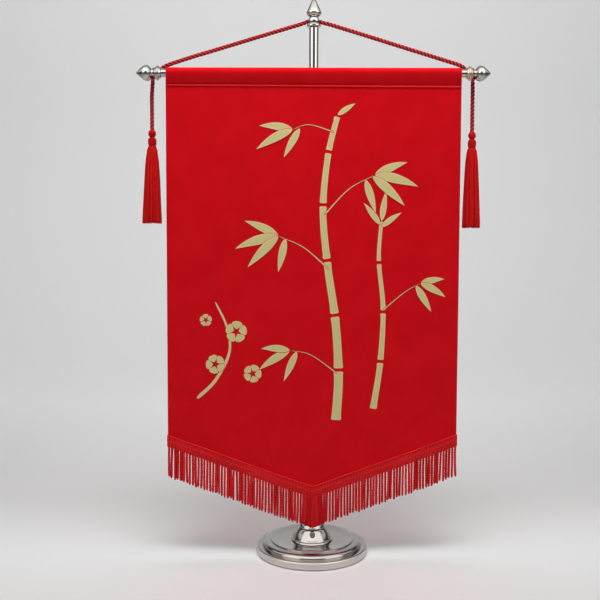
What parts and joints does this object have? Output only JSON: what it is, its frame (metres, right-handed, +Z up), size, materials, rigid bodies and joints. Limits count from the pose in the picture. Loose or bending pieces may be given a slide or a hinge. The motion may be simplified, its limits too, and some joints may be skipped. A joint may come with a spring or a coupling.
{
  "type": "tabletop banner on stand",
  "caption": "Red V-footed table banner with a fringe, hung by a twisted cord and cross rod from a polished metal pole on a round stepped foot, a tassel at each end.",
  "frame": {"origin": "centre of the foot's underside, on the surface it stands on", "axes": "+Z up along the pole, +X to the right seen from the front, -Y towards the front of the banner"},
  "size_m": [0.2998, 0.0972, 0.4805],
  "materials": {
    "foot_nickel": "polished nickel plate",
    "pole_nickel": "polished nickel plate",
    "warm_bead": "polished nickel with a pale gold tint",
    "screw_steel": "dark oxidised steel",
    "banner_cloth": "matt woven polyester, red, with a pale gold printed design",
    "fringe_yarn": "twisted rayon fringe on a ribbed woven heading, red",
    "cord_yarn": "twisted three-ply rayon cord, red",
    "tassel_yarn": "fine glossy rayon yarn, red"
  },
  "bodies": {
    "root": {"base_foot": "foot_nickel", "hub": "foot_nickel", "set_screw": "screw_steel", "pole": "pole_nickel", "pole_finial": "pole_nickel", "cross_rod": "pole_nickel", "rod_finial_left": "pole_nickel", "rod_finial_right": "pole_nickel", "rod_bead_left": "pole_nickel", "rod_bead_right": "warm_bead", "banner_cloth": "banner_cloth", "fringe": "fringe_yarn", "suspension_cord": "cord_yarn", "cord_knot_left": "cord_yarn", "cord_knot_right": "cord_yarn", "tassel_cord_left": "cord_yarn", "tassel_cord_right": "cord_yarn", "tassel_knob_left": "tassel_yarn", "tassel_knob_right": "tassel_yarn", "tassel_band_left": "tassel_yarn", "tassel_band_right": "tassel_yarn", "tassel_left": "tassel_yarn", "tassel_right": "tassel_yarn"}
  },
  "joints": []
}
